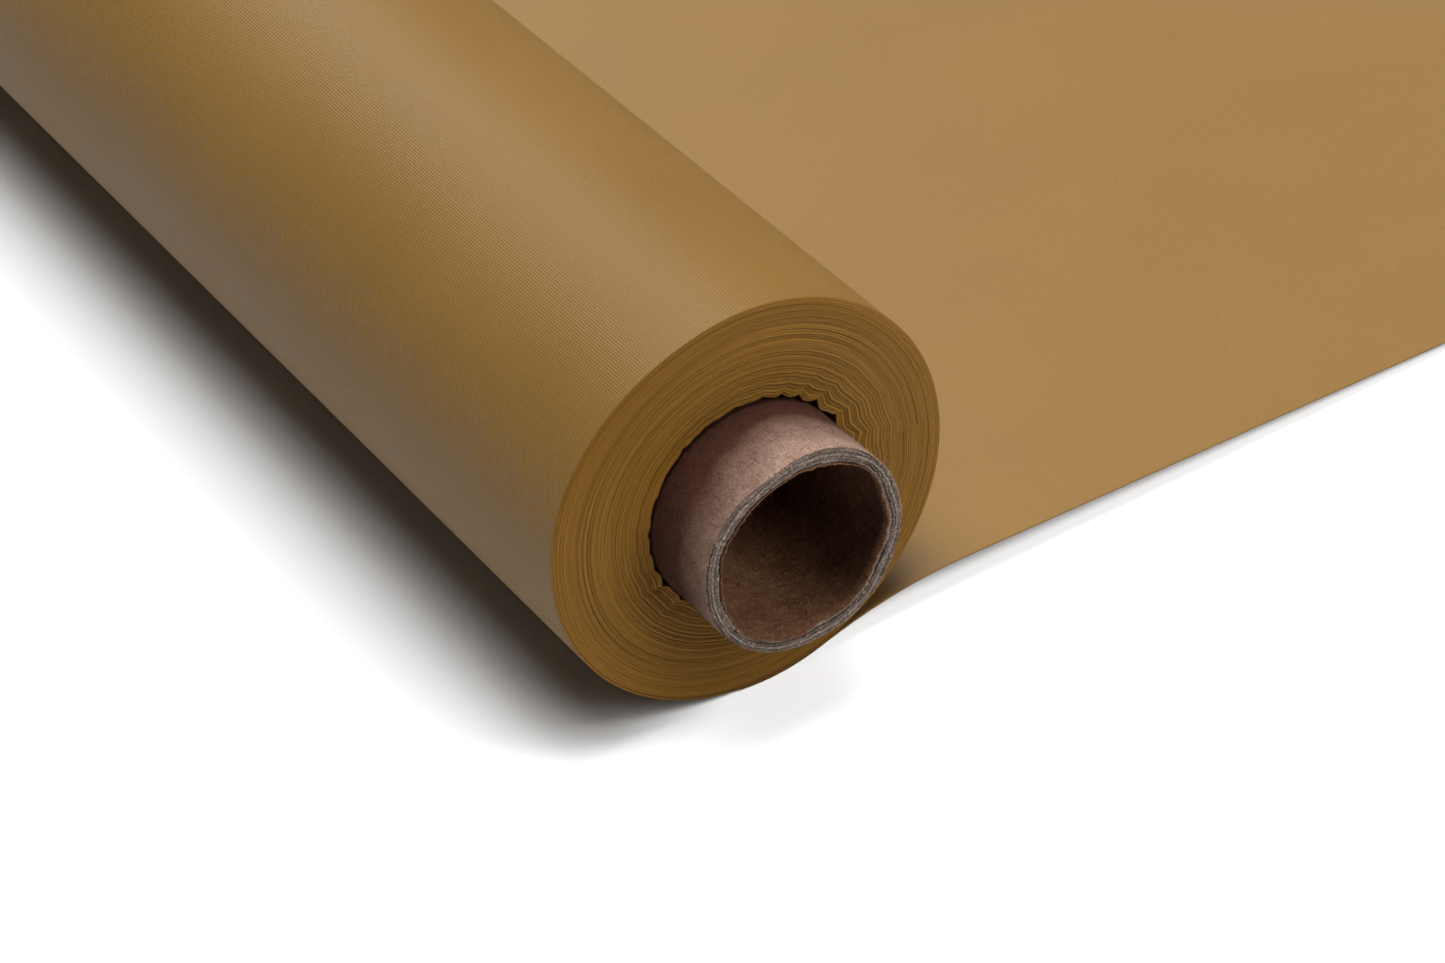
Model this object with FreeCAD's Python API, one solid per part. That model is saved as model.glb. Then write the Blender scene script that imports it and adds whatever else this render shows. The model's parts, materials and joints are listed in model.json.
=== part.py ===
"""A wide roll of thin embossed plastic film on a paperboard core, with its free end laid out flat.

Millimetres. The origin is on the roll's axis, half way along it. +Y runs along the axis, +X is the way the
free end is laid, and +Z is up. The roll rests on the surface at z = -ROLL_R, and so does the far part of the
laid film.
"""

import FreeCAD, Part

import math
import os

V = FreeCAD.Vector

# Film: one continuous web
WEB_WIDTH = 1016.0
ROLL_R = 40.0
FILM_T = 0.4

# Core: a laminated paperboard tube, longer than the web is wide
CORE_OVERHANG = 17.5
CORE_LENGTH = WEB_WIDTH + 2 * CORE_OVERHANG
BORE_R = 17.0
INNER_LINER_T = 0.35
PLY_T = 0.6
PLY_COUNT = 4
OUTER_LINER_T = 0.3
CORE_R = BORE_R + INNER_LINER_T + PLY_COUNT * PLY_T + OUTER_LINER_T

# Starter tapes, which hold the film's first turn to the core
TAPE_T = 0.2
GLUE_T = 0.02
TAPE_LENGTH = 50.0
TAPE_ARC_DEG = 70.0
TAPE_INSET = 60.0

# The ruffled first turns and the tight pack around them
CORE_GAP = 0.35
INNER_WRAPS_R = CORE_R + CORE_GAP
TIGHT_WRAPS_R = 25.0

# Where the film leaves the roll, seen along the axis: angles from straight down, towards +X
LEAD_CLEARANCE = 0.3
LEAD_START_DEG = 14.5
LIFT_OFF_DEG = 17.0
HUMP_R = 100.0
FALL_DEG = 2.0
SETTLE_R = 1500.0
FREE_END_X = 520.0


def along_axis(length):
    """Where a tube of this length, centred on the origin, starts on the roll's axis."""
    return V(0, -length / 2, 0)


def tube(inner_r, outer_r, length):
    """A plain tube around the roll's axis, centred on the origin."""
    start = along_axis(length)
    direction = V(0, 1, 0)
    outside = Part.makeCylinder(outer_r, length, start, direction)
    inside = Part.makeCylinder(inner_r, length, start, direction)
    return outside.cut(inside)


def core_plies():
    """The core's wall from the bore outwards: kraft liner, grey board plies, kraft cover."""
    layers = [("core_inner_liner", INNER_LINER_T)]
    layers += [(f"core_ply_{number + 1}", PLY_T) for number in range(PLY_COUNT)]
    layers += [("core_outer_liner", OUTER_LINER_T)]
    made = {}
    inner_r = BORE_R
    for name, thickness in layers:
        made[name] = tube(inner_r, inner_r + thickness, CORE_LENGTH)
        inner_r += thickness
    return made


def tape_patch(centre_y):
    """A piece of tape bent over the top of the core, under the film's first turn."""
    start = V(0, centre_y - TAPE_LENGTH / 2, 0)
    inner_r = CORE_R + GLUE_T
    inside = Part.makeCylinder(inner_r, TAPE_LENGTH, start, V(0, 1, 0))
    outside = Part.makeCylinder(inner_r + TAPE_T, TAPE_LENGTH, start, V(0, 1, 0), TAPE_ARC_DEG)
    return outside.cut(inside)


def start_tapes():
    """One patch near each end of the core and one half way."""
    reach = WEB_WIDTH / 2 - TAPE_INSET
    return Part.makeCompound([tape_patch(y) for y in (-reach, 0.0, reach)])


def polar(radius, degrees_past_bottom):
    """A point in the end view, at an angle from straight down towards +X."""
    angle = math.radians(degrees_past_bottom)
    return V(radius * math.sin(angle), 0, -radius * math.cos(angle))


class FilmPath:
    """The top face of the film from the roll to its free end, in the end view.

    It follows the roll past its lowest point, leaves it at LIFT_OFF_DEG, bends back over a low hump, falls in
    a straight line and settles on the surface.
    """

    def __init__(self, depth):
        """depth is how far this face lies below the film's top face."""
        roll_r = ROLL_R + LEAD_CLEARANCE + depth
        hump_r = HUMP_R - depth
        settle_r = SETTLE_R + depth
        floor_z = FILM_T - ROLL_R - depth
        self.start = polar(roll_r, LEAD_START_DEG)
        self.on_roll = polar(roll_r, (LEAD_START_DEG + LIFT_OFF_DEG) / 2)
        self.lift_off = polar(roll_r, LIFT_OFF_DEG)
        hump_centre = self.lift_off + polar(hump_r, LIFT_OFF_DEG)
        self.crest = hump_centre + V(0, 0, hump_r)
        self.hump_end = hump_centre - polar(hump_r, -FALL_DEG)
        settle_centre_z = floor_z + settle_r
        fall_end_z = settle_centre_z + polar(settle_r, -FALL_DEG).z
        run = (self.hump_end.z - fall_end_z) / math.tan(math.radians(FALL_DEG))
        self.fall_end = V(self.hump_end.x + run, 0, fall_end_z)
        settle_centre = self.fall_end - polar(settle_r, -FALL_DEG)
        self.settle_middle = settle_centre + polar(settle_r, -FALL_DEG / 2)
        self.settle_end = settle_centre + polar(settle_r, 0)
        self.free_end = V(FREE_END_X, 0, floor_z)


def web_solid(edges):
    """A closed end-view outline, pushed through the web's width."""
    outline = Part.Wire(Part.__sortEdges__(edges))
    face = Part.Face(outline)
    face.translate(V(0, -WEB_WIDTH / 2, 0))
    return face.extrude(V(0, WEB_WIDTH, 0))


def line(a, b):
    return Part.makeLine(a, b)


def arc(a, middle, b):
    return Part.Arc(a, middle, b).toShape()


def lead_off(top, under):
    """The stretch that peels from the roll and bends back over the hump. It travels with the roll."""
    edges = [line(top.start, under.start), line(top.hump_end, under.hump_end)]
    for face in (top, under):
        edges.append(arc(face.start, face.on_roll, face.lift_off))
        edges.append(arc(face.lift_off, face.crest, face.hump_end))
    return web_solid(edges)


def laid_film(top, under):
    """The stretch that lies still: a straight fall to the surface, then flat out to the cut end."""
    edges = [line(top.hump_end, under.hump_end), line(top.free_end, under.free_end)]
    for face in (top, under):
        edges.append(line(face.hump_end, face.fall_end))
        edges.append(arc(face.fall_end, face.settle_middle, face.settle_end))
        edges.append(line(face.settle_end, face.free_end))
    return web_solid(edges)


def build():
    """Every node's shape, by name."""
    nodes = core_plies()
    nodes["start_tapes"] = start_tapes()
    nodes["film_inner_wraps"] = tube(INNER_WRAPS_R, TIGHT_WRAPS_R, WEB_WIDTH)
    nodes["film_tight_wraps"] = tube(TIGHT_WRAPS_R, ROLL_R, WEB_WIDTH)
    top = FilmPath(0.0)
    under = FilmPath(FILM_T)
    nodes["film_lead_off"] = lead_off(top, under)
    nodes["film_laid_out"] = laid_film(top, under)
    return nodes


def main():
    os.makedirs("parts", exist_ok=True)
    for name, shape in build().items():
        shape.exportStep(f"parts/{name}.step")
        print(f"{name}: {len(shape.Solids)} solid(s), {shape.Volume / 1000:.2f} cm3, valid {shape.isValid()}")


main()
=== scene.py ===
"""A roll of embossed plastic film on a paperboard core, its free end laid flat. Metres, in the CAD frame."""

import json
import math

import bmesh
import bpy
import numpy as np
from mathutils import Matrix, Vector


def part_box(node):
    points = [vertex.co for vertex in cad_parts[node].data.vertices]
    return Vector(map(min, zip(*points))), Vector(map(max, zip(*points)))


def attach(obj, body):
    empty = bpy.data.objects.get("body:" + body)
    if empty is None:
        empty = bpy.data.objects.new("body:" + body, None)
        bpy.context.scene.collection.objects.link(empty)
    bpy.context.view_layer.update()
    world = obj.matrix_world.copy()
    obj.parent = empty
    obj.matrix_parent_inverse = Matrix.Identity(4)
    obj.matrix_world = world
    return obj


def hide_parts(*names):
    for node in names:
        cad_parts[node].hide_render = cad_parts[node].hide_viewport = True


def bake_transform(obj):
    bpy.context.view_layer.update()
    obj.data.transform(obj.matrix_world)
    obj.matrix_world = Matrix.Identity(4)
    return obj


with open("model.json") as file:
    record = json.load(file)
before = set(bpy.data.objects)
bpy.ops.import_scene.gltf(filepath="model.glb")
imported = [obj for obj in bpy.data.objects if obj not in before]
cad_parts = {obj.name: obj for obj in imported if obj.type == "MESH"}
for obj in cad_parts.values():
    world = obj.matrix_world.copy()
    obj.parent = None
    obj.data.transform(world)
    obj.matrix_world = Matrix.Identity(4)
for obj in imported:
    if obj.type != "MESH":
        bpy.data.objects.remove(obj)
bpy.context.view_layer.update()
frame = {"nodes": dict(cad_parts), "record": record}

MM = 0.001
TURN = 2 * math.pi

# ---------------------------------------------------------------- sizes, from the frame

WEB_LOW, WEB_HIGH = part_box("film_tight_wraps")
ROLL_R = WEB_HIGH[2]
WEB_HALF = WEB_HIGH[1]
FLOOR_Z = WEB_LOW[2]
CORE_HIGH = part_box("core_outer_liner")[1]
CORE_R = CORE_HIGH[2]
CORE_HALF = CORE_HIGH[1]
FREE_END_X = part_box("film_laid_out")[1][0]
PLY_NODES = ["core_inner_liner", "core_ply_1", "core_ply_2", "core_ply_3", "core_ply_4", "core_outer_liner"]
BORE_R = next(m for m in frame["record"]["mounts"] if m["name"] == "core_bore")["dims"]["r_mm"] * MM

# The free film in the end view. Angles are from straight down, towards +X.
FILM_T = 0.12 * MM
WRAP_GAP = 0.02 * MM
TUCK_START = math.radians(-8)
TUCK_DEPTH = 0.17 * MM
LIFT_OFF = math.radians(17)
HUMP_R = 100 * MM
FALL = math.radians(2)
SETTLE_R = 1.5

# The wound film: a rim of a few turns round a slab of many, at each end
FILM_BORE_R = 20.75 * MM
RIM = 2.4 * MM
RIM_LAYERS = 5
RIM_DEPTH = 3 * MM
EDGE_LAYERS = 38
SLAB_DEPTH_MM = 12.0
ROLL_COLUMNS = 540
SLAB_COLUMNS = 500

# Bumps round the axis: height in mm, centre and width in degrees from +X towards +Z
PACK_BULGES = ((0.55, 157, 20), (-0.42, 108, 17))
RUFFLE_HEIGHTS = ((0.52, 26, 40), (0.30, -18, 28), (0.34, 212, 30))
RUFFLE_REACHES = ((2.4, 24, 30), (4.6, -12, 34), (1.6, 200, 30))
CORE_BULGES = ((-0.75, 106, 22), (0.16, 60, 20), (0.22, 150, 18), (0.18, -50, 30))
BORE_BULGES = (
    (0.45, 154, 12),
    (-0.35, 108, 28),
    (0.5, 38, 16),
    (0.55, -130, 26),
    (-0.75, -84, 14),
    (-1.0, -30, 14),
    (-0.5, 12, 9),
    (-0.3, -157, 2),
)

# The core's torn ends. The far end has the near end's dents, turned by FAR_END_TURN.
CORE_COLUMNS = 720
FAR_END_TURN = 2.1
CRACKED_JOINT = 2
FIBRE_COUNT = 150
FIBRE_R = 0.028 * MM
FIBRE_STEPS = 3
FIBRE_SIDES = 3


# ---------------------------------------------------------------- mesh helpers


def ripple(theta, seed, low, high, rough=1.0):
    """A smooth random curve around the axis, about -1 to 1, with between low and high waves in a turn."""
    rng = np.random.default_rng(seed)
    total = np.zeros_like(theta)
    power = 0.0
    for waves in range(low, high + 1):
        size = rng.uniform(0.3, 1.0) / waves ** (rough / 2)
        total += size * np.cos(waves * theta + rng.uniform(0, TURN))
        power += size * size / 2
    return total / (2 * math.sqrt(power))


def wrapped(theta, centre_deg):
    """The angle from a centre, between -pi and pi."""
    return (theta - math.radians(centre_deg) + math.pi) % TURN - math.pi


def dent(theta, centre_deg, width_deg):
    """A smooth bump of height 1 around the axis."""
    return np.exp(-((wrapped(theta, centre_deg) / math.radians(width_deg)) ** 2))


def dents(theta, bumps):
    """The sum of several bumps, each with its height, centre and width."""
    return sum(height * dent(theta, centre, width) for height, centre, width in bumps)


def add_object(name, data):
    """A new object in the scene for a mesh, a light or a camera."""
    made = bpy.data.objects.new(name, data)
    bpy.context.scene.collection.objects.link(made)
    return made


def quads(rows, columns, close_columns):
    """Faces of a grid of points, row by row. The last row joins the first."""
    column_count = columns if close_columns else columns - 1
    i = np.arange(rows)[:, None]
    j = np.arange(column_count)[None, :]
    i2 = (i + 1) % rows
    j2 = (j + 1) % columns
    corners = [i * columns + j, i * columns + j2, i2 * columns + j2, i2 * columns + j]
    return np.stack([np.broadcast_to(c, (rows, column_count)) for c in corners], axis=-1).reshape(-1, 4)


def grid_piece(name, points, uv, materials, row_slots=None, close_columns=True):
    """A closed mesh from a rows x columns x 3 array of points, with a UV map in metres."""
    rows, columns = points.shape[:2]
    faces = quads(rows, columns, close_columns)
    mesh = bpy.data.meshes.new(name)
    mesh.from_pydata(points.reshape(-1, 3).tolist(), [], faces.tolist())
    layer = mesh.uv_layers.new(name="UVMap")
    layer.data.foreach_set("uv", unrolled_uv(uv, faces, columns, close_columns).ravel())
    mesh.polygons.foreach_set("use_smooth", [True] * len(mesh.polygons))
    for material in materials:
        mesh.materials.append(material)
    if row_slots is not None:
        columns_of_faces = columns if close_columns else columns - 1
        mesh.polygons.foreach_set("material_index", np.repeat(row_slots, columns_of_faces))
    mesh.validate()
    mesh.update()
    return add_object(name, mesh)


def unrolled_uv(uv, faces, columns, close_columns):
    """UV per face corner. Where the columns close on themselves, u runs on instead of jumping back."""
    flat = uv.reshape(-1, 2)[faces]
    if close_columns:
        last = (faces % columns).max(axis=1) == columns - 1
        first_corner = (faces % columns) == 0
        lap = uv[:, -1, 0] - uv[:, 0, 0] + (uv[:, 1, 0] - uv[:, 0, 0])
        lap_of = lap[faces // columns]
        flat[..., 0] += np.where(last[:, None] & first_corner, lap_of, 0.0)
    return flat


def around(count):
    """Angles round the axis, from +X towards +Z."""
    return np.arange(count) * TURN / count


def ring_points(radius, y, theta):
    """Rows of points round the roll's axis. radius and y are rows x columns."""
    across = radius * np.cos(theta)
    up = radius * np.sin(theta)
    return np.stack([across, np.broadcast_to(y, radius.shape), up], axis=-1)


def solid_of_rings(name, radius, y, along, theta, materials, row_slots=None):
    """A closed ring-shaped solid. Each row is one loop round the axis, and along holds each row's v or vs."""
    radius, y = np.array(radius), np.array(y)
    u = np.broadcast_to(theta * ROLL_R, radius.shape)
    v = np.broadcast_to(np.asarray(along).reshape(len(radius), -1), radius.shape)
    return grid_piece(name, ring_points(radius, y, theta), np.stack([u, v], axis=-1), materials, row_slots)


# ---------------------------------------------------------------- materials


class Nodes:
    """A small helper for building one node material."""

    def __init__(self, name):
        self.material = bpy.data.materials.new(name)
        self.material.use_nodes = True
        self.tree = self.material.node_tree
        self.shader = self.tree.nodes["Principled BSDF"]

    def add(self, kind, **values):
        node = self.tree.nodes.new(kind)
        for key, value in values.items():
            setattr(node, key, value)
        return node

    def link(self, source, target):
        self.tree.links.new(source, target)

    def feed(self, socket, value):
        if isinstance(value, bpy.types.NodeSocket):
            self.link(value, socket)
        else:
            socket.default_value = value

    def math(self, operation, a, b=None):
        node = self.add("ShaderNodeMath", operation=operation)
        self.feed(node.inputs[0], a)
        if b is not None:
            self.feed(node.inputs[1], b)
        return node.outputs[0]

    def uv(self):
        return self.add("ShaderNodeUVMap", uv_map="UVMap").outputs[0]

    def position(self):
        return self.add("ShaderNodeTexCoord").outputs["Object"]

    def scaled(self, vector, scale):
        node = self.add("ShaderNodeMapping")
        self.link(vector, node.inputs[0])
        node.inputs["Scale"].default_value = scale
        return node.outputs[0]

    def noise(self, vector, scale, detail=3.0, roughness=0.5, distortion=0.0):
        node = self.add("ShaderNodeTexNoise")
        self.link(vector, node.inputs["Vector"])
        node.inputs["Scale"].default_value = scale
        node.inputs["Detail"].default_value = detail
        node.inputs["Roughness"].default_value = roughness
        node.inputs["Distortion"].default_value = distortion
        return node.outputs["Fac"]

    def spread(self, value, low, high, to_low=0.0, to_high=1.0):
        node = self.add("ShaderNodeMapRange")
        self.link(value, node.inputs["Value"])
        node.inputs["From Min"].default_value = low
        node.inputs["From Max"].default_value = high
        node.inputs["To Min"].default_value = to_low
        node.inputs["To Max"].default_value = to_high
        return node.outputs[0]

    def mix(self, factor, a, b, blend="MIX"):
        node = self.add("ShaderNodeMix", data_type="RGBA", blend_type=blend)
        self.feed(node.inputs["Factor"], factor)
        for socket, value in ((node.inputs[6], a), (node.inputs[7], b)):
            if isinstance(value, tuple):
                socket.default_value = (*value, 1.0)
            else:
                self.link(value, socket)
        return node.outputs[2]

    def bump(self, height, distance, strength=1.0, under=None):
        node = self.add("ShaderNodeBump")
        self.link(height, node.inputs["Height"])
        node.inputs["Distance"].default_value = distance
        node.inputs["Strength"].default_value = strength
        if under is not None:
            self.link(under, node.inputs["Normal"])
        return node.outputs[0]

    def finish(self, **sockets):
        for name, value in sockets.items():
            socket = self.shader.inputs[name.replace("_", " ").title().replace("Ior", "IOR")]
            if isinstance(value, tuple):
                socket.default_value = (*value, 1.0)
            else:
                self.feed(socket, value)
        return self.material


def shade(colour, share):
    """A colour made darker or lighter."""
    return tuple(channel * share for channel in colour)


FILM_COLOUR = (0.232, 0.126, 0.0305)
SPECK_COLOUR = (0.42, 0.3, 0.16)
EDGE_COLOUR = (0.285, 0.133, 0.0175)
DUST_COLOUR = (0.27, 0.19, 0.13)

# Each family of embossed lines: its direction on the film, its pitch and its strength
EMBOSS_LINES = ((math.radians(90), 0.50 * MM, 1.0), (math.radians(-29), 0.64 * MM, 1.5))


def emboss(nodes):
    """Two crossed families of fine lines, pressed into the film, from 0 to 1."""
    peak = sum(strength for _, _, strength in EMBOSS_LINES)
    split = nodes.add("ShaderNodeSeparateXYZ")
    nodes.link(nodes.uv(), split.inputs[0])
    waves = []
    for angle, pitch, strength in EMBOSS_LINES:
        across_u = nodes.math("MULTIPLY", split.outputs[0], TURN * math.sin(angle) / pitch)
        across_v = nodes.math("MULTIPLY", split.outputs[1], -TURN * math.cos(angle) / pitch)
        wave = nodes.math("SINE", nodes.math("ADD", across_u, across_v))
        waves.append(nodes.math("MULTIPLY", wave, strength))
    return nodes.spread(nodes.math("ADD", waves[0], waves[1]), -peak, peak)


def film_material(name, tone, emboss_depth, roughness, clouding):
    """Satin plastic film with a fine crossed emboss, painted shade in its grooves, and very slight clouding.
    """
    nodes = Nodes(name)
    base = tuple(c * t for c, t in zip(FILM_COLOUR, tone))
    clouds = nodes.noise(nodes.uv(), 28, detail=4)
    specks = nodes.noise(nodes.uv(), 1500, detail=1)
    lines = emboss(nodes)
    painted_groove_shade = nodes.spread(lines, 0.15, 0.85, 7 * emboss_depth / MM, 0)
    colour = nodes.mix(nodes.spread(clouds, 0.35, 0.65), shade(base, 1 - clouding), shade(base, 1 + clouding))
    colour = nodes.mix(nodes.spread(specks, 0.62, 0.75, 0, 0.12), colour, SPECK_COLOUR)
    # Painted shade: the colour is darker in the emboss's grooves
    colour = nodes.mix(painted_groove_shade, colour, shade(base, 0.45))
    soft = nodes.bump(clouds, 0.6 * MM, 0.12)
    normal = nodes.bump(lines, emboss_depth, 1.0, under=soft)
    rough = nodes.spread(clouds, 0.3, 0.7, roughness - 0.03, roughness + 0.03)
    return nodes.finish(base_color=colour, roughness=rough, normal=normal, ior=1.47, specular_ior_level=0.14)


def film_edge_material():
    """The film's many cut edges: fine lines along the layers, some pale, some dusty, with painted shade in
    the gaps between them.
    """
    nodes = Nodes("film_edges")
    thread = nodes.noise(nodes.scaled(nodes.uv(), (14, 5200, 1)), 1, detail=2)
    painted_gap_shade = nodes.noise(nodes.scaled(nodes.uv(), (9, 3100, 1)), 1, detail=1)
    bands = nodes.noise(nodes.scaled(nodes.uv(), (5, 640, 1)), 1, detail=3)
    dust = nodes.noise(nodes.scaled(nodes.uv(), (260, 2400, 1)), 1, detail=2)
    colour = nodes.mix(nodes.spread(thread, 0.3, 0.7), shade(EDGE_COLOUR, 0.6), shade(EDGE_COLOUR, 1.15))
    colour = nodes.mix(nodes.spread(bands, 0.45, 0.7, 0, 0.5), colour, shade(EDGE_COLOUR, 0.62))
    colour = nodes.mix(nodes.spread(dust, 0.64, 0.78, 0, 0.4), colour, DUST_COLOUR)
    # Painted shade in the gaps between the layers' edges
    colour = nodes.mix(nodes.spread(painted_gap_shade, 0.60, 0.68, 0, 0.7), colour, shade(EDGE_COLOUR, 0.25))
    normal = nodes.bump(thread, 0.14 * MM, 0.7)
    return nodes.finish(base_color=colour, roughness=0.55, normal=normal, ior=1.45, specular_ior_level=0.15)


# Colours multiplied in as painted shade: on the core's cover next to the film, and in the bore near each
# mouth and on its side towards the laid sheet
COVER_SHADE_COLOUR = (0.17, 0.092, 0.075)
MOUTH_SHADE_COLOUR = (0.42, 0.38, 0.36)
SHEET_SIDE_SHADE_COLOUR = (0.16, 0.12, 0.1)


def painted_cover_shade(nodes, place, colour):
    """Painted shade: darkens the core's cover next to the film's end, furthest out on the side away from the
    laid sheet.
    """
    split = nodes.add("ShaderNodeSeparateXYZ")
    nodes.link(place, split.inputs[0])
    out_of_film = nodes.math("SUBTRACT", nodes.math("ABSOLUTE", split.outputs[1]), WEB_HALF)
    wander = nodes.spread(nodes.noise(place, 190, detail=3), 0.3, 0.7, -1 * MM, 1 * MM)
    ragged = nodes.math("ADD", out_of_film, wander)
    reach_away = nodes.spread(split.outputs[0], 3 * MM, -16 * MM, 12.5 * MM, 24 * MM)
    reach_towards = nodes.spread(split.outputs[0], 0, 12 * MM, 0, 4.5 * MM)
    reach = nodes.math("ADD", reach_away, reach_towards)
    left = nodes.math("SUBTRACT", 1.0, nodes.math("DIVIDE", ragged, reach))
    # The cover's colour is multiplied by painted shade here
    return nodes.mix(nodes.spread(left, 0, 0.7), colour, COVER_SHADE_COLOUR, "MULTIPLY")


def painted_bore_shade(nodes, place, colour):
    """Painted shade: darkens the liner from each mouth inwards, and all along it on the side towards the laid
    sheet.
    """
    split = nodes.add("ShaderNodeSeparateXYZ")
    nodes.link(place, split.inputs[0])
    depth = nodes.math("SUBTRACT", CORE_HALF, nodes.math("ABSOLUTE", split.outputs[1]))
    near_mouth = nodes.spread(depth, 0, 11 * MM, 0.75, 0)
    # Painted shade, multiplied in near each mouth
    colour = nodes.mix(near_mouth, colour, MOUTH_SHADE_COLOUR, "MULTIPLY")
    towards_sheet = nodes.spread(split.outputs[0], 0, 12 * MM)
    inside = nodes.spread(depth, 0.4 * MM, 2 * MM)
    sheet_side = nodes.math("MULTIPLY", towards_sheet, inside)
    # Painted shade, multiplied in on the side towards the laid sheet
    return nodes.mix(nodes.math("MULTIPLY", sheet_side, 0.8), colour, SHEET_SIDE_SHADE_COLOUR, "MULTIPLY")


def board_material(name, pale, deep, fibre, grain=1.0, roughness=0.9, painted_shade=None):
    """Paperboard: short matted fibres, pale and dark, over a ground mottled between two colours, and painted
    shade multiplied in where a shade function is given.
    """
    nodes = Nodes(name)
    place = nodes.position()
    mottle = nodes.noise(place, 260, detail=5, roughness=0.6)
    fibres_a = nodes.noise(nodes.scaled(place, (900, 2600, 900)), 1, detail=2, distortion=1.6)
    fibres_b = nodes.noise(nodes.scaled(place, (2700, 800, 2700)), 1, detail=2, distortion=1.6)
    colour = nodes.mix(nodes.spread(mottle, 0.3, 0.7), deep, pale)
    colour = nodes.mix(nodes.spread(fibres_a, 0.52, 0.66, 0, 0.6 * grain), colour, fibre)
    colour = nodes.mix(nodes.spread(fibres_b, 0.52, 0.66, 0, 0.6 * grain), colour, shade(deep, 0.4))
    # Painted shade, multiplied into the colour where given
    if painted_shade is not None:
        colour = painted_shade(nodes, place, colour)
    fuzz = nodes.math("ADD", fibres_a, fibres_b)
    normal = nodes.bump(fuzz, 0.22 * MM, 0.7 * grain)
    return nodes.finish(base_color=colour, roughness=roughness, normal=normal, specular_ior_level=0.15)


FILM_ON_ROLL = film_material("film_on_roll", (0.86, 0.85, 0.755), 0.07 * MM, 0.47, 0.035)
FILM_LAID = film_material("film_laid", (0.85, 0.875, 1.045), 0.006 * MM, 0.5, 0.015)
FILM_EDGES = film_edge_material()
COVER_BOARD = board_material(
    "cover_board", (0.38, 0.25, 0.185), (0.27, 0.165, 0.12), (0.52, 0.38, 0.30), painted_shade=painted_cover_shade
)
GREY_BOARD = board_material(
    "grey_board", (0.30, 0.235, 0.195), (0.18, 0.135, 0.11), (0.45, 0.37, 0.31), grain=1.3
)
DARK_BOARD = board_material(
    "dark_board", (0.18, 0.135, 0.11), (0.10, 0.072, 0.056), (0.36, 0.29, 0.24), grain=1.3
)
LINER_BOARD = board_material(
    "liner_board",
    (0.34, 0.165, 0.082),
    (0.19, 0.082, 0.038),
    (0.45, 0.29, 0.18),
    grain=1.2,
    painted_shade=painted_bore_shade,
)
TAPE = board_material(
    "starter_tape", (0.62, 0.56, 0.42), (0.55, 0.49, 0.36), (0.7, 0.65, 0.52), grain=0.4, roughness=0.5
)


# ---------------------------------------------------------------- the wound film


def lopsided(theta, share, y):
    """How far the pack is out of round: a flat near the top and a bulge beside it, most at the near end."""
    near = 0.35 + 0.65 * np.exp(-np.abs(y + WEB_HALF) / (120 * MM))
    return MM * share * near * dents(theta, PACK_BULGES)


def outer_wraps():
    """The last turns: a closed tube, smooth outside, whose rims are a few layer edges wide."""
    theta = around(ROLL_COLUMNS)
    end_steps = np.concatenate([[0.15, 0.5, 1.2, 2.5, 5, 9], np.linspace(16, 500, 62)]) * MM
    along = np.concatenate([end_steps - WEB_HALF, (WEB_HALF - end_steps)[::-1]])
    rows_r, rows_y, rows_v, slots = [], [], [], []

    def row(radius, y, v, slot):
        share = np.clip((radius - FILM_BORE_R) / (ROLL_R - FILM_BORE_R), 0, 1)
        rows_r.append(radius + lopsided(theta, share, y) + 0 * theta)
        rows_y.append(y + 0 * theta)
        rows_v.append(v)
        slots.append(slot)

    # The outer turn's edge is nicked low on the side towards the laid film
    nicks = 0.75 * dent(theta, -70, 24) * np.abs(ripple(theta, 77, 55, 105, 0.2))

    def rim(sign):
        """Rows over the rim's layer edges and round the corner, from the inside out."""
        for k in range(RIM_LAYERS):
            # Across each layer's edge: the share of its thickness, and how far back it lies in mm
            for share, sink in ((0.02, 0.22), (0.3, 0.03), (0.78, 0.05), (0.98, 0.2)):
                inset = RIM * (1 - (k + share) / RIM_LAYERS) + 0.06 * MM
                sway = 0.04 * ripple(theta, 300 + k, 1, 7) + 0.02 * ripple(theta, 320 + k, 20, 70, 0.3)
                yield ROLL_R - inset, sign * (WEB_HALF - (sink + sway + 0.07) * MM), inset
        yield ROLL_R - (0.04 + nicks) * MM, sign * (WEB_HALF - 0.08 * MM), 0.04 * MM

    row(ROLL_R - RIM, -WEB_HALF + RIM_DEPTH, -WEB_HALF - RIM, 1)
    for radius, y, inset in rim(-1):
        row(radius, y, -WEB_HALF - inset, 1)
    for y in along:
        sag = 0.03 * MM * (1 + ripple(theta + 3 * y, 5, 3, 7) * math.sin(9 * y + 1))
        torn = nicks * MM * math.exp(-(WEB_HALF - abs(y)) / (1.5 * MM))
        row(ROLL_R - sag - torn, y, y, 0)
    for radius, y, inset in list(rim(1))[::-1]:
        row(radius, y, WEB_HALF + inset, 1)
    row(ROLL_R - RIM, WEB_HALF - RIM_DEPTH, WEB_HALF + RIM, 1)
    materials = [FILM_ON_ROLL, FILM_EDGES]
    return solid_of_rings("film_outer_wraps", rows_r, rows_y, rows_v, theta, materials, slots)


def ruffle(layer_r, theta, seed):
    """How far the loose inner layers are off their circle: cusped waves, strongest at the upper right."""
    depth = (layer_r - FILM_BORE_R) / MM
    loose = 0.17 + dents(theta, RUFFLE_HEIGHTS)
    reach = 2.4 + dents(theta, RUFFLE_REACHES)
    turn = theta + 0.016 * depth
    phase = 13 * turn + 1.2 * ripple(turn, seed, 2, 6)
    wave = 1 - 2 * np.abs(np.sin(phase)) ** 0.75 + 0.35 * ripple(turn, seed + 1, 22, 44, 0.3)
    shift = 0.25 * np.cos(theta - math.radians(80)) * math.exp(-depth / 4)
    return MM * (loose * wave * np.exp(-((depth / reach) ** 1.4)) + shift)


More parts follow.
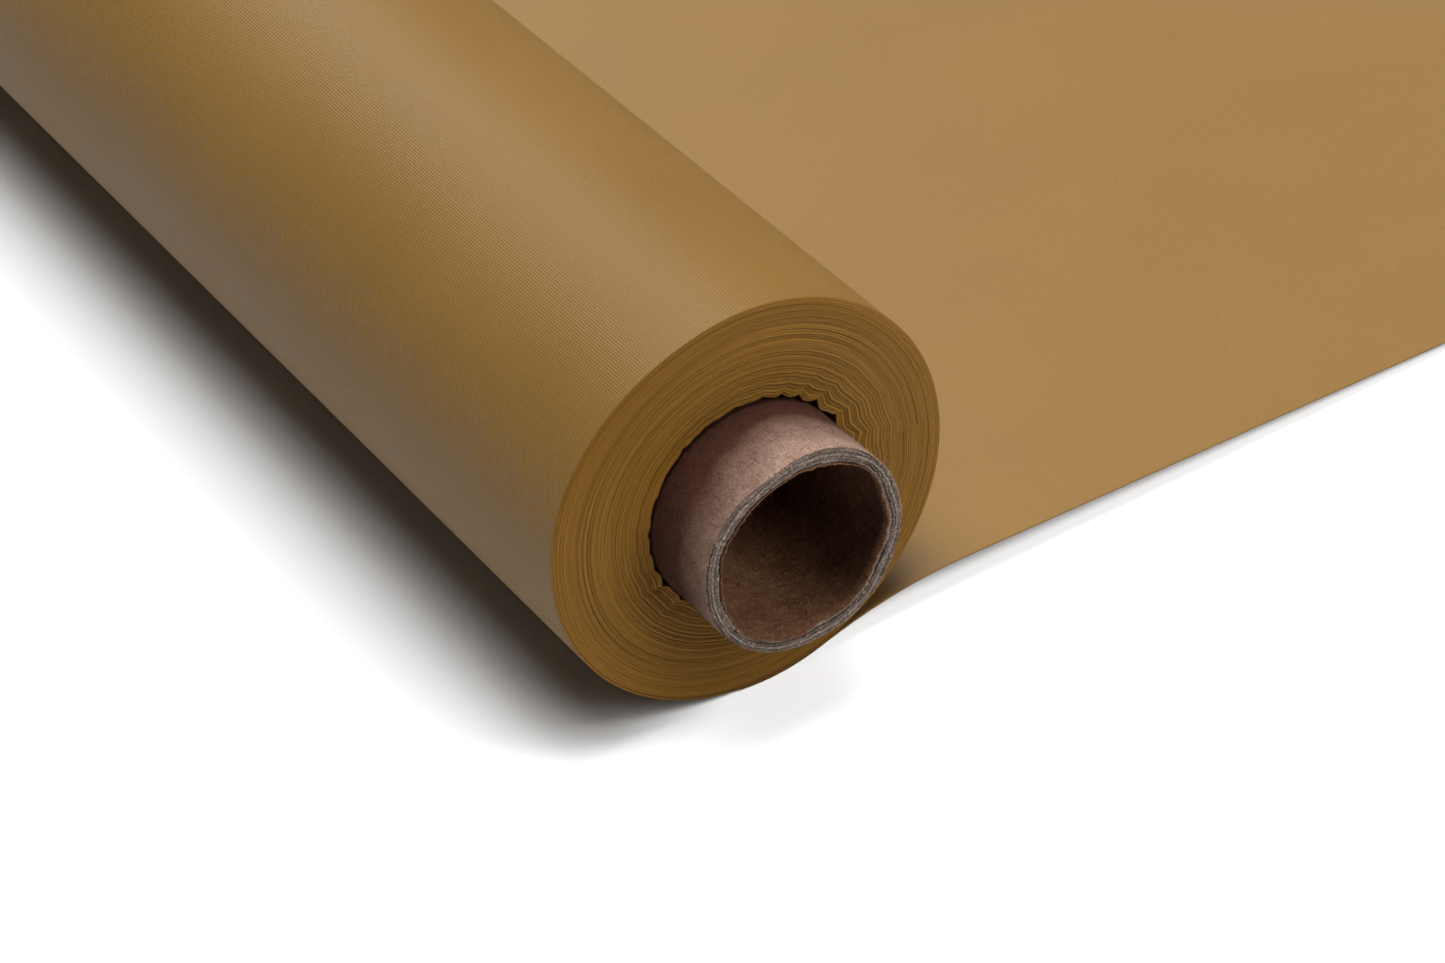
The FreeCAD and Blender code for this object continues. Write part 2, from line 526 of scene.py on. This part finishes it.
def edge_slab(name, sign, seed):
    """The end of the pack inside the rim: a ring whose face is the film's cut edges."""
    rng = np.random.default_rng(seed)
    theta = around(SLAB_COLUMNS)
    pitches = rng.choice([0.26, 0.42, 0.60, 0.85], size=EDGE_LAYERS, p=[0.3, 0.35, 0.25, 0.1])
    top = ROLL_R - RIM - 0.02 * MM
    starts = FILM_BORE_R + np.concatenate([[0], np.cumsum(pitches)]) / pitches.sum() * (top - FILM_BORE_R)
    drift = np.cumsum(rng.normal(0, 0.04, EDGE_LAYERS))
    drift -= np.linspace(drift[0], drift[-1], EDGE_LAYERS)
    rows_r, rows_y, rows_v = [], [], []

    def row(layer_r, sink):
        share = (layer_r - FILM_BORE_R) / (ROLL_R - FILM_BORE_R)
        pushed = layer_r + ruffle(layer_r, theta, seed) + lopsided(theta, share, sign * WEB_HALF)
        rows_r.append(np.maximum(pushed, CORE_R + 0.1 * MM + 0.2 * (layer_r - FILM_BORE_R)))
        rows_y.append(sign * (WEB_HALF - sink * MM) + 0 * theta)
        rows_v.append(-sign * (ROLL_R - layer_r) + sign * WEB_HALF)

    row(FILM_BORE_R, SLAB_DEPTH_MM)
    row(FILM_BORE_R, 2.0)
    for k in range(EDGE_LAYERS):
        low, high = starts[k], starts[k + 1]
        near_core = math.exp(-k / 8)
        sway = 0.05 * ripple(theta, seed + 10 + k, 1, 6) + 0.025 * ripple(theta, seed + 200 + k, 20, 60, 0.3)
        groove = rng.choice([0.10, 0.22, 0.5], p=[0.4, 0.42, 0.18]) + 0.45 * near_core * rng.uniform(0.4, 1)
        crest = 0.13 + drift[k] + sway * (1 + 2 * near_core)
        lip = min(0.09 * MM, 0.3 * (high - low))
        row(low + 0.1 * lip, crest + groove)
        row(low + lip, crest)
        row(high - lip, crest + 0.03)
    row(top, 0.6)
    row(top, SLAB_DEPTH_MM)
    return solid_of_rings(name, rows_r, rows_y, rows_v, theta, [FILM_EDGES])


# ---------------------------------------------------------------- the lead-off and the laid sheet


def film_path():
    """The film's top face in the end view, from under the roll to the free end: points, normals and runs.

    It starts just inside the roll's surface, so that its first edge doesn't show, and a run is the distance
    along the film from there.
    """
    wrap_r = ROLL_R + WRAP_GAP
    points, normals = [], []

    def put(x, z, slope):
        points.append((x, z))
        normals.append((-math.sin(slope), math.cos(slope)))

    for angle in np.linspace(TUCK_START, LIFT_OFF, 22)[:-1]:
        tucked_r = wrap_r - TUCK_DEPTH * max(0.0, angle / TUCK_START)
        put(tucked_r * math.sin(angle), -tucked_r * math.cos(angle), angle)
    centre_x = (wrap_r + HUMP_R) * math.sin(LIFT_OFF)
    centre_z = -(wrap_r + HUMP_R) * math.cos(LIFT_OFF)
    for slope in np.linspace(LIFT_OFF, -FALL, 26):
        put(centre_x - HUMP_R * math.sin(slope), centre_z + HUMP_R * math.cos(slope), slope)
    x, z = points[-1]
    flat_z = FLOOR_Z + FILM_T
    settle_z = flat_z + SETTLE_R * (1 - math.cos(FALL))
    fall_length = (z - settle_z) / math.tan(FALL)
    for step in np.linspace(0, 1, 38)[1:]:
        put(x + step * fall_length, z - step * (z - settle_z), -FALL)
    settle_x = points[-1][0] + SETTLE_R * math.sin(FALL)
    for slope in np.linspace(-FALL, 0, 13)[1:]:
        put(settle_x + SETTLE_R * math.sin(slope), flat_z + SETTLE_R * (1 - math.cos(slope)), slope)
    x, z = points[-1]
    for step in np.linspace(0, 1, 90)[1:]:
        put(x + step * (FREE_END_X - x), z, 0.0)
    points, normals = np.array(points), np.array(normals)
    run = np.concatenate([[0], np.cumsum(np.hypot(*np.diff(points, axis=0).T))])
    return points, normals, run


def lift(x, y):
    """How far the laid film stands off the surface: faint waves, two soft folds and a curled cut end."""
    away = np.clip((x - 0.17) / 0.14, 0, 1)
    away = away * away * (3 - 2 * away)
    waves = 0.5 + 0.5 * np.sin(11 * x + 7 * y + 0.8) * np.cos(9 * y - 5 * x)
    fold_line = (x - 0.252) * 0.80 + (y + WEB_HALF - 0.105) * 0.6
    fold = np.exp(-((fold_line / 0.020) ** 2)) * np.exp(-(((y + WEB_HALF - 0.11) / 0.12) ** 2))
    second_fold = np.exp(-(((x - 0.37 - 0.12 * y) / 0.03) ** 2)) * (0.5 + 0.5 * np.sin(6 * y + 1))
    curl = np.clip((x - FREE_END_X + 0.030) / 0.030, 0, 1) ** 2 * (1 + 0.5 * np.sin(8 * y))
    return MM * (2.0 * waves * away + 2.2 * fold + 1.9 * second_fold + 4.5 * curl)


def laid_film():
    """The free film as one thin closed sheet, and its length along the film's path."""
    path, normals, run = film_path()
    edge_steps = np.concatenate([[0, 0.4, 2, 6], np.linspace(12, 508, 84)]) * MM
    across = np.concatenate([edge_steps - WEB_HALF, (WEB_HALF - edge_steps[:-1])[::-1]])
    x = path[:, 0][:, None] + 0 * across[None, :]
    y = across[None, :] + 0 * x
    z = path[:, 1][:, None] + lift(x, y)
    top = np.stack([x, y, z], axis=-1)
    down = -np.stack([normals[:, 0], 0 * run, normals[:, 1]], axis=-1)[:, None, :]
    under = top + FILM_T * down
    points = np.concatenate([top, under[::-1]])
    along = np.concatenate([run, run[::-1]])[:, None] + 0 * y[:1]
    uv = np.stack([along, np.concatenate([y, y])], axis=-1)
    rows, columns = points.shape[:2]
    sheet = grid_piece("film_sheet", points, uv, [FILM_LAID], close_columns=False)
    close_sides(sheet, rows, columns)
    return sheet, float(run[-1])


def close_sides(piece, rows, columns):
    """Faces along the two side edges of a flattened loop, so the sheet is closed."""
    mesh = bmesh.new()
    mesh.from_mesh(piece.data)
    mesh.verts.ensure_lookup_table()
    half = rows // 2
    for i in range(half - 1):
        for column, flip in ((0, False), (columns - 1, True)):
            corners = [i, i + 1, rows - 2 - i, rows - 1 - i]
            loop = [mesh.verts[r * columns + column] for r in corners]
            mesh.faces.new(loop if flip else loop[::-1]).smooth = True
    bmesh.ops.recalc_face_normals(mesh, faces=mesh.faces)
    mesh.to_mesh(piece.data)
    mesh.free()


# ---------------------------------------------------------------- the core


def squashed(theta, depth_in_wall, from_end):
    """How the core's wall is out of round near its end. depth_in_wall is 0 at the bore and 1 outside."""
    outside = dents(theta, CORE_BULGES) + 0.05 * ripple(theta, 41, 8, 40, 0.6)
    inside = dents(theta, BORE_BULGES) + 0.13 * ripple(theta, 40, 10, 50, 0.5)
    fade = np.exp(-from_end / (9 * MM))
    return MM * fade * (outside * depth_in_wall + inside * (1 - depth_in_wall))


def split_between(theta, joint, from_end):
    """The gap where the two plies at a joint have come apart at the end."""
    opening = np.clip(ripple(theta, 100 + joint, 2, 18, 0.6) + 0.3, 0.15, 1.3)
    crack = 1.6 * dent(theta, 145, 9) if joint == CRACKED_JOINT else 0
    return 0.20 * MM * (opening + crack) * np.exp(-from_end / (2.5 * MM))


def core_ply(node, order, inner_r, outer_r, material):
    """One layer of the core's wall, torn and uneven at its ends."""
    theta = around(CORE_COLUMNS)
    last = len(PLY_NODES) - 1
    steps = np.array([0, 0.08, 0.2, 0.45, 0.9, 1.8, 3.5, 6, 10, 17, 26, 60, 160, 340]) * MM
    rng = np.random.default_rng(900 + order)
    rows_r, rows_y = [], []

    def row(across, sign, rounding, from_end, short_by, fray):
        radius = inner_r + across * (outer_r - inner_r)
        joint = order if across < 0.5 else order + 1
        apart = 0.5 * (1 - 2 * across)
        if (order == 0 and across < 0.5) or (order == last and across > 0.5):
            apart = 0.0
        turn = theta if sign < 0 else theta + FAR_END_TURN
        share = (radius - BORE_R) / (CORE_R - BORE_R)
        place = radius + squashed(turn, share, from_end) + apart * split_between(turn, joint, from_end)
        place = place + 0.015 * MM * ripple(turn, 150 + joint, 30, 150, 0.3) * math.exp(-from_end / (20 * MM))
        torn = fray * (0.6 * ripple(turn, 170 + order, 20, 160, 0.3) + 0.7 * ripple(turn, 190 + order, 3, 14))
        wear = (short_by + torn) * math.exp(-from_end / (1 * MM))
        rows_r.append(place)
        rows_y.append(sign * (CORE_HALF - from_end - rounding - wear))

    for sign in (-1, 1):
        short_by = rng.uniform(0.0, 0.5) * MM
        sides = [[(across, from_end, 0.16 * MM) for from_end in steps] for across in (0, 1)]
        face = [(across, 0.0, 0.26 * MM) for across in (0.12, 0.32, 0.5, 0.68, 0.88)]
        if sign < 0:
            ordered = sides[0][::-1] + face + sides[1]
        else:
            ordered = sides[1][::-1] + face[::-1] + sides[0]
        for across, from_end, fray in ordered:
            rounding = 0.07 * MM if from_end == 0 and across in (0, 1) else 0.0
            row(across, sign, rounding, from_end, short_by, fray)
    along = [y[0] + (r[0] - CORE_R) for r, y in zip(rows_r, rows_y)]
    return solid_of_rings(node + "_paper", rows_r, rows_y, along, theta, [material])


def ply_material(order):
    """The liner, then plies of two greys in turn, then the cover."""
    if order == 0:
        return LINER_BOARD
    if order == len(PLY_NODES) - 1:
        return COVER_BOARD
    return GREY_BOARD if order % 2 else DARK_BOARD


def core():
    """Every ply, from the bore out."""
    made = []
    for order, node in enumerate(PLY_NODES):
        outer_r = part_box(node)[1][2]
        inner_r = BORE_R if order == 0 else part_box(PLY_NODES[order - 1])[1][2]
        made.append((node, core_ply(node, order, inner_r, outer_r, ply_material(order))))
    return made


def add_strand(points, faces, place, heading, bend, length):
    """Adds the points and faces of one bent fibre, thinner towards its tip and closed at both ends."""
    first = len(points)
    for step in range(FIBRE_STEPS + 1):
        width = FIBRE_R * (1 - 0.28 * step)
        side = np.cross(heading, (0.3, 0.5, 0.8))
        side /= np.linalg.norm(side)
        other = np.cross(heading, side)
        for corner in range(FIBRE_SIDES):
            turn = corner * TURN / FIBRE_SIDES
            points.append(place + width * (math.cos(turn) * side + math.sin(turn) * other))
        place = place + heading * length / FIBRE_STEPS
        heading = heading + bend * 0.5
        heading /= np.linalg.norm(heading)
    for step in range(FIBRE_STEPS):
        low = first + FIBRE_SIDES * step
        high = low + FIBRE_SIDES
        for corner in range(FIBRE_SIDES):
            following = (corner + 1) % FIBRE_SIDES
            faces.append((low + corner, low + following, high + following, high + corner))
    tip = first + FIBRE_SIDES * FIBRE_STEPS
    faces.append((first, first + 2, first + 1))
    faces.append((tip, tip + 1, tip + 2))


def fibres(name, sign, seed):
    """Loose paper fibres round the torn end of the core."""
    rng = np.random.default_rng(seed)
    points, faces = [], []
    for _ in range(FIBRE_COUNT):
        angle = rng.uniform(0, TURN)
        at_bore = rng.random() < 0.6
        radius = (BORE_R if at_bore else CORE_R) + rng.normal(0, 0.2) * MM
        turn = angle if sign < 0 else angle + FAR_END_TURN
        radius += float(squashed(np.array([turn]), 0 if at_bore else 1, 0.0)[0])
        place = np.array([radius * math.cos(angle), sign * (CORE_HALF - 0.25 * MM), radius * math.sin(angle)])
        inward = np.array([-math.cos(angle), 0, -math.sin(angle)]) * (0.7 if at_bore else -0.4)
        heading = inward + np.array([0, sign * rng.uniform(-0.3, 0.8), 0]) + rng.normal(0, 0.8, 3)
        heading /= np.linalg.norm(heading)
        bend = rng.normal(0, 0.35, 3)
        length = rng.uniform(0.25, 0.9) * MM
        add_strand(points, faces, place, heading, bend, length)
    mesh = bpy.data.meshes.new(name)
    mesh.from_pydata([tuple(p) for p in points], [], faces)
    mesh.materials.append(GREY_BOARD)
    mesh.update()
    return add_object(name, mesh)


# ---------------------------------------------------------------- stage


FLOOR_SIZE = 24
FLOOR_CLEARANCE = 0.2 * MM
FLOOR_COLOUR = (0.65, 0.65, 0.65)

# Each light's name, direction from the roll, distance in metres, width and height, and power in watts
LIGHTS = (
    ("overhead_softbox", (0.04, -0.03, 0.99), 6.4, (3.6, 3.8), 500),
    ("rear_softbox", (0.15, 0.70, 0.69), 6.4, (2.4, 2.4), 362),
    ("front_reflector", (0.30, -0.83, 0.46), 3.0, (1.4, 1.0), 28),
)
FLOOR_WASH = ("floor_wash", (0.64, -0.58, 0.50), 5.0, (1.6, 1.6), 450)
WORLD_COLOUR = (1, 1, 1, 1)
WORLD_STRENGTH = 0.06


def add_floor():
    """A plain pale floor, just clear of the film's underside."""
    bpy.ops.mesh.primitive_plane_add(size=FLOOR_SIZE, location=(0, 0, FLOOR_Z - FLOOR_CLEARANCE))
    floor = bpy.context.object
    floor.name = "floor"
    nodes = Nodes("floor_white")
    floor.data.materials.append(nodes.finish(base_color=FLOOR_COLOUR, roughness=0.8, specular_ior_level=0.1))
    return floor


def aim(obj, direction_from, roll=0.0):
    """Turns a camera or light to look back along direction_from, with +Z up."""
    back = Vector(direction_from).normalized()
    right = Vector((0, 0, 1)).cross(back).normalized()
    up = back.cross(right)
    turn = Matrix((right, up, back)).transposed()
    obj.rotation_euler = (turn @ Matrix.Rotation(roll, 3, "Z")).to_euler()


def add_light(name, direction, distance, size, power):
    """A rectangular softbox that points at the roll's middle."""
    light = bpy.data.lights.new(name, "AREA")
    light.shape = "RECTANGLE"
    light.size, light.size_y = size
    light.energy = power
    lamp = add_object(name, light)
    unit = Vector(direction).normalized()
    lamp.location = unit * distance
    aim(lamp, unit)
    return lamp


def add_lights(floor):
    """The studio lights, with one that whitens the floor and lights nothing else."""
    for light in LIGHTS:
        add_light(*light)
    wash = add_light(*FLOOR_WASH)
    only_floor = bpy.data.collections.new("floor_wash_receivers")
    only_floor.objects.link(floor)
    wash.light_linking.receiver_collection = only_floor
    wash.data.cycles.max_bounces = 0


def add_world():
    """A weak even light from all round."""
    world = bpy.data.worlds.new("studio")
    world.use_nodes = True
    background = world.node_tree.nodes["Background"]
    background.inputs["Color"].default_value = WORLD_COLOUR
    background.inputs["Strength"].default_value = WORLD_STRENGTH
    bpy.context.scene.world = world


CAMERA_AZIMUTH = math.radians(-28.77)
CAMERA_ELEVATION = math.radians(37.51)
CAMERA_ROLL = math.radians(-6.23)
CAMERA_DISTANCE = 18.69 * ROLL_R
CAMERA_TARGET = Vector((-2.7 * MM, -WEB_HALF + 4.4 * MM, 3.4 * MM))
LENS_MM = 107.2
SENSOR_MM = 36
VIEW_LIMIT = 50


def add_camera():
    """Looks at the near end of the roll from the left and above."""
    back = Vector((
        math.sin(CAMERA_AZIMUTH) * math.cos(CAMERA_ELEVATION),
        -math.cos(CAMERA_AZIMUTH) * math.cos(CAMERA_ELEVATION),
        math.sin(CAMERA_ELEVATION),
    ))
    data = bpy.data.cameras.new("camera")
    data.lens = LENS_MM
    data.sensor_width = SENSOR_MM
    data.clip_end = VIEW_LIMIT
    camera = add_object("camera", data)
    camera.location = CAMERA_TARGET + CAMERA_DISTANCE * back
    aim(camera, back, CAMERA_ROLL)
    bpy.context.scene.camera = camera


# ---------------------------------------------------------------- put together

outer = outer_wraps()
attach(outer, "roll")
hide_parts("film_tight_wraps")

near_edges = edge_slab("film_edges_near", -1, 21)
far_edges = edge_slab("film_edges_far", 1, 57)
for slab in (near_edges, far_edges):
    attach(slab, "roll")
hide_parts("film_inner_wraps")

BOARD_SLOTS = {"core_inner_liner": "liner_board", "core_outer_liner": "cover_board"}

for ply_node, ply in core():
    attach(ply, "roll")
    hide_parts(ply_node)
    BOARD_SLOTS.get(ply_node, "grey_board")

for fibre_name, fibre_sign, fibre_seed in (("core_fibres_near", -1, 5), ("core_fibres_far", 1, 8)):
    strands = fibres(fibre_name, fibre_sign, fibre_seed)
    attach(strands, "roll")

sheet, sheet_length = laid_film()
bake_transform(sheet)
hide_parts("film_lead_off", "film_laid_out")

tapes = frame["nodes"]["start_tapes"]
tapes.data.materials.clear()
tapes.data.materials.append(TAPE)

add_lights(add_floor())
add_world()
add_camera()
bpy.context.scene.view_settings.view_transform = "Standard"
